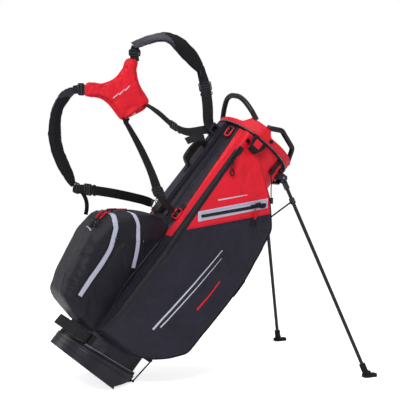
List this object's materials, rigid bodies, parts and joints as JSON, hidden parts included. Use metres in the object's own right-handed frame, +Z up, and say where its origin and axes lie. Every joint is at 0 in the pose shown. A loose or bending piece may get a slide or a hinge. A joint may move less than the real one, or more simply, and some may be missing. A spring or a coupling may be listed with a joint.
{
  "type": "golf stand bag",
  "caption": "Leaning stand bag with fold-out legs, hinged foot plate, zipped pockets, club dividers, lift handles and a padded back harness.",
  "frame": {"origin": "middle of the object's box, on the floor", "axes": "+Z up, +X towards the legs that the bag leans on, -Y the side with the framed zip"},
  "size_m": [0.9296, 0.579, 1.0311],
  "materials": {
    "body_fabric": "coated woven, satin",
    "red_fabric": "coated woven, satin",
    "red_pad": "padded mesh",
    "black_pad": "padded air mesh",
    "webbing": "woven webbing",
    "reflective_tape": "satin reflective",
    "lining": "brushed lining",
    "stay_alloy": "satin",
    "leg_alloy": "black anodised",
    "steel_wire": "blackened",
    "rubber": "matt",
    "zip_metal": "satin black",
    "cord": "braided",
    "stud_metal": "gunmetal",
    "black_plastic": "fine texture"
  },
  "bodies": {
    "root": {"back_pad": "red_pad", "bag_tube": "body_fabric", "ball_pocket": "body_fabric", "base_collar": "webbing", "base_cup": "black_plastic", "base_handle": "webbing", "cord_lock": "black_plastic", "cord_tab": "webbing", "cuff_piping": "webbing", "divider_grid": "black_plastic", "divider_sleeve": "lining", "elastic_cord": "cord", "grab_handle": "black_plastic", "harness_anchor": "black_plastic", "leg_bracket": "black_plastic", "leg_pins": "steel_wire", "lift_handle_front": "black_plastic", "lift_handle_rear": "black_plastic", "pad_buckles": "black_plastic", "plate_hinge_pin": "steel_wire", "pocket_tab": "webbing", "rod_guides": "black_plastic", "shoulder_pad_lower": "black_pad", "shoulder_pad_upper": "black_pad", "side_pocket_left": "body_fabric", "side_pocket_right": "body_fabric", "snap_studs": "stud_metal", "spine": "black_plastic", "stay_rods": "stay_alloy", "strap_rings": "black_plastic", "strap_tails": "webbing", "top_cuff": "red_fabric", "towel_loop": "webbing", "tri_glides": "black_plastic", "web_cross_lower": "webbing", "web_cross_upper": "webbing", "web_lower": "webbing", "web_upper": "webbing", "zip_frame": "reflective_tape"},
    "push_rods": {"crossheads": "black_plastic", "push_rods": "steel_wire"},
    "foot_plate": {"foot_plate": "rubber"},
    "leg_left": {"leg_clip_left": "black_plastic", "leg_foot_left": "rubber", "leg_head_left": "black_plastic", "leg_tube_left": "leg_alloy"},
    "leg_right": {"leg_clip_right": "black_plastic", "leg_foot_right": "rubber", "leg_head_right": "black_plastic", "leg_tube_right": "leg_alloy"},
    "plate_yoke": {"plate_yoke": "steel_wire"},
    "slider_apparel_left": {"slider_apparel_left": "zip_metal"},
    "slider_apparel_right": {"slider_apparel_right": "zip_metal"},
    "slider_ball_front": {"slider_ball_front": "zip_metal"},
    "slider_ball_rear": {"slider_ball_rear": "zip_metal"},
    "slider_valuables": {"slider_valuables": "zip_metal"},
    "strut_left": {"strut_left": "steel_wire"},
    "strut_right": {"strut_right": "steel_wire"}
  },
  "joints": [
    {"name": "leg_left_fold", "type": "hinge", "parent": "root", "child": "leg_left", "pos_m": [0.2608, 0.0666, 0.58635], "axis": [-0.2921, 0.9245, 0.2451], "range_deg": [0, 58.57]},
    {"name": "leg_right_fold", "type": "hinge", "parent": "root", "child": "leg_right", "pos_m": [0.2608, -0.0666, 0.58635], "axis": [0.2921, 0.9245, -0.2451], "range_deg": [0, 58.57]},
    {"name": "push_rods_slide", "type": "slide", "parent": "root", "child": "push_rods", "axis": [-0.6428, 0, -0.766], "range_m": [0, 0.04494]},
    {"name": "strut_left_swing", "type": "hinge", "parent": "push_rods", "child": "strut_left", "pos_m": [0.10609, 0.04, 0.3872], "axis": [0.3456, -0.9178, -0.1954], "range_deg": [0, 16.42]},
    {"name": "strut_right_swing", "type": "hinge", "parent": "push_rods", "child": "strut_right", "pos_m": [0.10609, -0.04, 0.3872], "axis": [-0.3456, -0.9178, 0.1954], "range_deg": [0, 16.42]},
    {"name": "yoke_swing", "type": "hinge", "parent": "push_rods", "child": "plate_yoke", "pos_m": [-0.17031, 0, 0.05781], "axis": [0, -1, 0], "range_deg": [0, 11.43]},
    {"name": "foot_plate_turn", "type": "hinge", "parent": "root", "child": "foot_plate", "pos_m": [-0.29766, 0, 0.0045], "axis": [0, 1, 0], "range_deg": [0, 40]},
    {"name": "slider_valuables_slide", "type": "slide", "parent": "root", "child": "slider_valuables", "axis": [-0.9862, -0.073, -0.1487], "range_m": [0, 0.165]},
    {"name": "slider_apparel_right_slide", "type": "slide", "parent": "root", "child": "slider_apparel_right", "axis": [-0.6397, -0.0971, -0.7624], "range_m": [0, 0.335]},
    {"name": "slider_apparel_left_slide", "type": "slide", "parent": "root", "child": "slider_apparel_left", "axis": [-0.6397, 0.0971, -0.7624], "range_m": [0, 0.335]},
    {"name": "slider_ball_front_slide", "type": "slide", "parent": "root", "child": "slider_ball_front", "axis": [-0.4894, 0, -0.872], "range_m": [0, 0.165]},
    {"name": "slider_ball_rear_slide", "type": "slide", "parent": "root", "child": "slider_ball_rear", "axis": [-0.149, 0, -0.9888], "range_m": [0, 0.045]}
  ],
  "couplings": [
    {"joint": "leg_right_fold", "follows": "leg_left_fold", "ratio": 1},
    {"joint": "push_rods_slide", "follows": "leg_left_fold", "m_per_rad": 0.043963},
    {"joint": "strut_left_swing", "follows": "leg_left_fold", "ratio": 0.28043},
    {"joint": "strut_right_swing", "follows": "leg_left_fold", "ratio": 0.28043},
    {"joint": "yoke_swing", "follows": "leg_left_fold", "ratio": 0.19517},
    {"joint": "foot_plate_turn", "follows": "leg_left_fold", "ratio": 0.68299}
  ]
}
